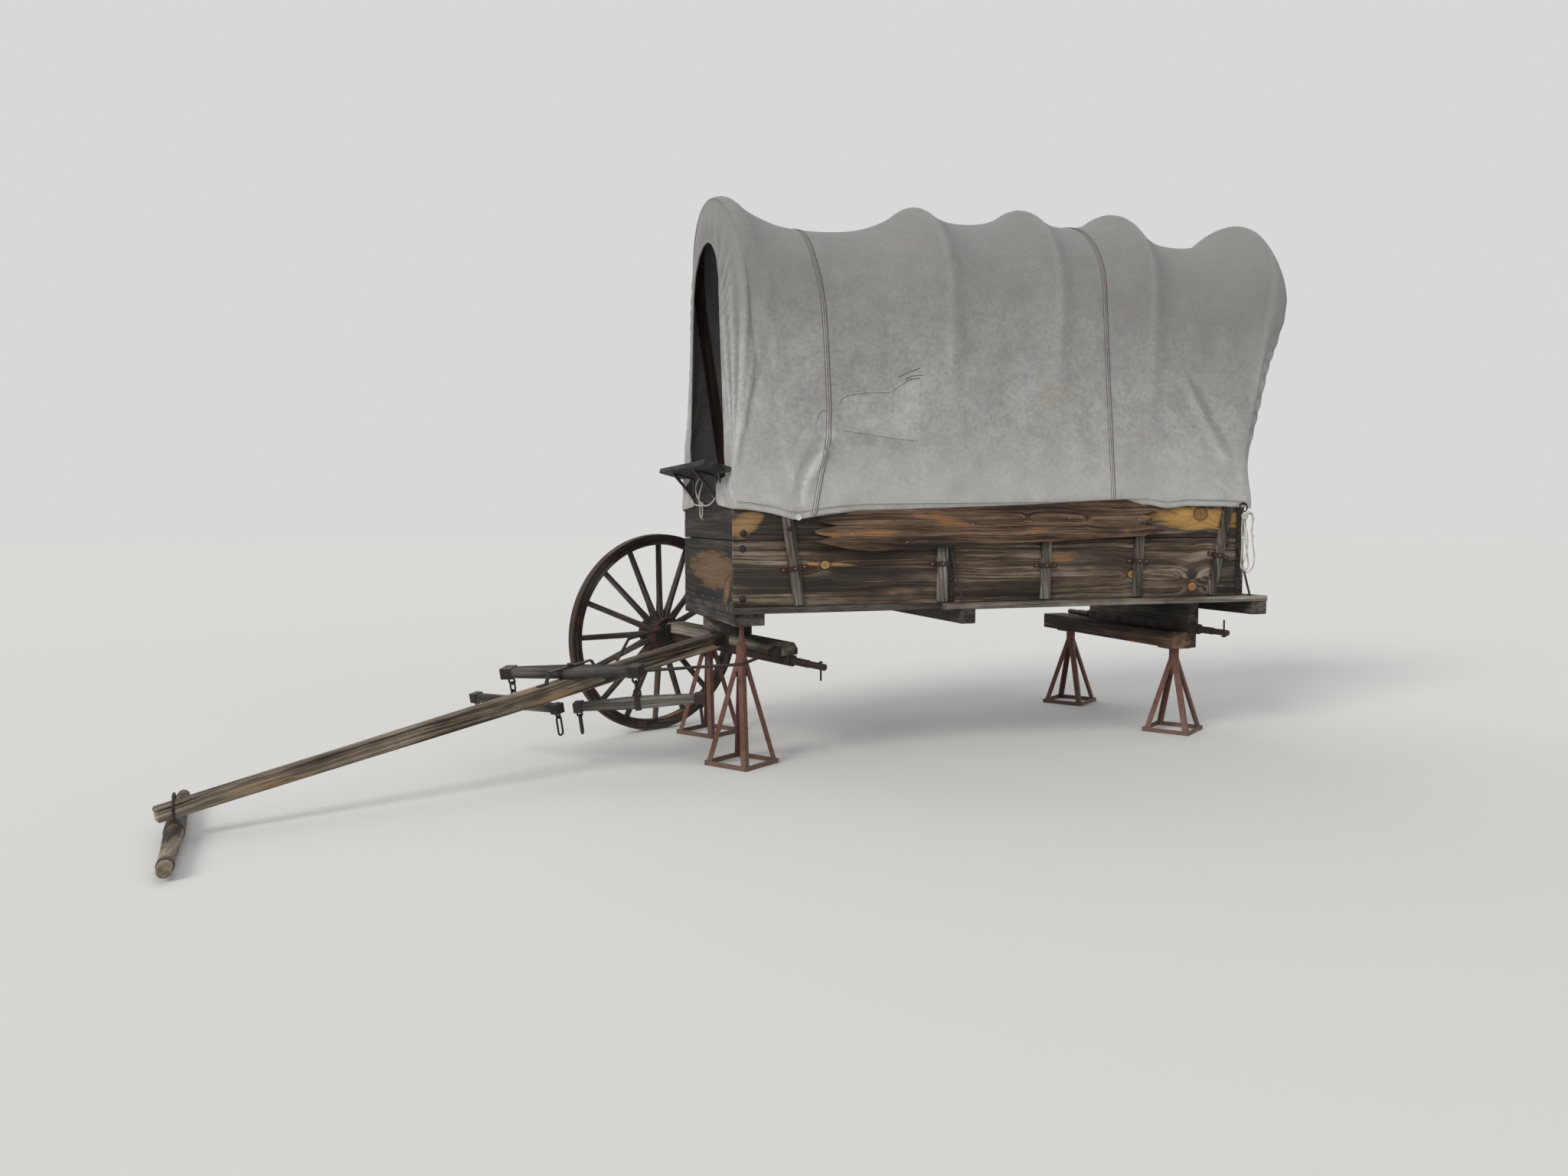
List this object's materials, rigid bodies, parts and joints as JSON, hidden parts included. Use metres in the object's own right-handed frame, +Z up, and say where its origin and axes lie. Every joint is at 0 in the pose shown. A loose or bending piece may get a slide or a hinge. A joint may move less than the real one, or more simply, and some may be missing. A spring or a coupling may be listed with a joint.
{
  "type": "covered wagon",
  "caption": "Weathered covered farm wagon on steel stands: plank box, canvas over hoops, bare spindles, steerable front axle with a spoked wheel, tongue, doubletree and neck yoke.",
  "frame": {"origin": "on the ground under the middle of the box", "axes": "+X to the wagon's front, +Y to its left side, which carries the sign board, +Z up"},
  "size_m": [6.0067, 2.578, 3.0621],
  "materials": {
    "bow_wood": "weathered",
    "brown_timber": "newer brown timber",
    "canvas": "stained cotton canvas",
    "dark_timber": "dark weathered",
    "floor_wood": "weathered",
    "front_board_wood": "dark weathered with a bare patch",
    "iron": "rusty dark iron",
    "plank_wood": "weathered grey-brown",
    "rail_wood": "silver grey",
    "rope": "off-white twisted rope",
    "sign_wood": "split weathered board, blank",
    "stand_paint": "red primer, rusty",
    "tongue_wood": "silver grey with bare patches",
    "tree_wood": "weathered",
    "tyre_iron": "worn rusty iron",
    "wheel_iron": "rusty with dark red paint",
    "wheel_wood": "weathered with old paint"
  },
  "bodies": {
    "wagon": {"floor": "floor_wood", "side_near": "plank_wood", "side_far": "plank_wood", "end_boards_front": "front_board_wood", "end_boards_rear": "plank_wood", "cleats": "plank_wood", "rail_near": "rail_wood", "rail_far": "rail_wood", "cross_timber_front": "dark_timber", "cross_timber_middle": "dark_timber", "cross_timber_rear": "dark_timber", "bolster_rear": "dark_timber", "axle_rear": "iron", "stand_front_near": "stand_paint", "stand_front_far": "stand_paint", "stand_rear_near": "stand_paint", "stand_rear_far": "stand_paint", "prop_beam": "brown_timber", "bow_1": "bow_wood", "bow_2": "bow_wood", "bow_3": "bow_wood", "bow_4": "bow_wood", "bow_5": "bow_wood", "bow_straps": "iron", "side_braces": "iron", "cover_front": "canvas", "cover_middle": "canvas", "cover_rear": "canvas", "sign_board": "sign_wood", "footboard": "plank_wood", "footboard_brackets": "iron", "cover_flaps": "canvas", "tie_bow": "rope", "tie_rope": "rope", "hank_iron": "iron", "rope_hank": "rope"},
    "front_gear": {"axle_front": "iron", "axle_front_timber": "dark_timber", "turning_block": "dark_timber", "tongue_irons": "iron"},
    "front_wheel": {"wheel_hub": "wheel_wood", "wheel_irons": "wheel_iron", "wheel_spokes": "wheel_wood", "wheel_rim": "wheel_wood", "wheel_tyre": "tyre_iron"},
    "tongue": {"tongue": "tongue_wood", "tongue_braces": "iron", "hammer_strap": "iron"},
    "doubletree": {"doubletree": "tree_wood", "doubletree_irons": "iron"},
    "singletree_near": {"singletree_near": "tree_wood", "singletree_near_irons": "iron"},
    "singletree_far": {"singletree_far": "tree_wood", "singletree_far_irons": "iron"},
    "neck_yoke": {"neck_yoke": "tree_wood", "yoke_irons": "iron"}
  },
  "joints": [
    {"name": "steering", "type": "hinge", "parent": "wagon", "child": "front_gear", "pos_m": [1.438, 0, 0.718], "axis": [0, 0, 1], "range_deg": [-10, 20]},
    {"name": "wheel_spin", "type": "hinge", "parent": "front_gear", "child": "front_wheel", "pos_m": [1.68574, -0.5981, 0.58301], "axis": [-0.3823, 0.923, -0.0436], "continuous": true},
    {"name": "tongue_pitch", "type": "hinge", "parent": "front_gear", "child": "tongue", "pos_m": [1.53434, 0.04179, 0.59471], "axis": [0.3823, -0.923, 0.0436], "range_deg": [0, 25]},
    {"name": "doubletree_swing", "type": "hinge", "parent": "tongue", "child": "doubletree", "pos_m": [2.33435, 0.36788, 0.48284], "axis": [0.1488, 0.1081, 0.9829], "range_deg": [-60, 10]},
    {"name": "singletree_near_swing", "type": "hinge", "parent": "doubletree", "child": "singletree_near", "pos_m": [2.05344, 0.571, 0.46335], "axis": [0.1488, 0.1081, 0.9829], "range_deg": [-20, 15]},
    {"name": "singletree_far_swing", "type": "hinge", "parent": "doubletree", "child": "singletree_far", "pos_m": [2.60365, 0.15634, 0.42566], "axis": [0.1488, 0.1081, 0.9829], "range_deg": [-15, 20]},
    {"name": "neck_yoke_swing", "type": "hinge", "parent": "tongue", "child": "neck_yoke", "pos_m": [3.97479, 1.03007, 0.11669], "axis": [0, 0, 1], "range_deg": [-10, 40]}
  ]
}
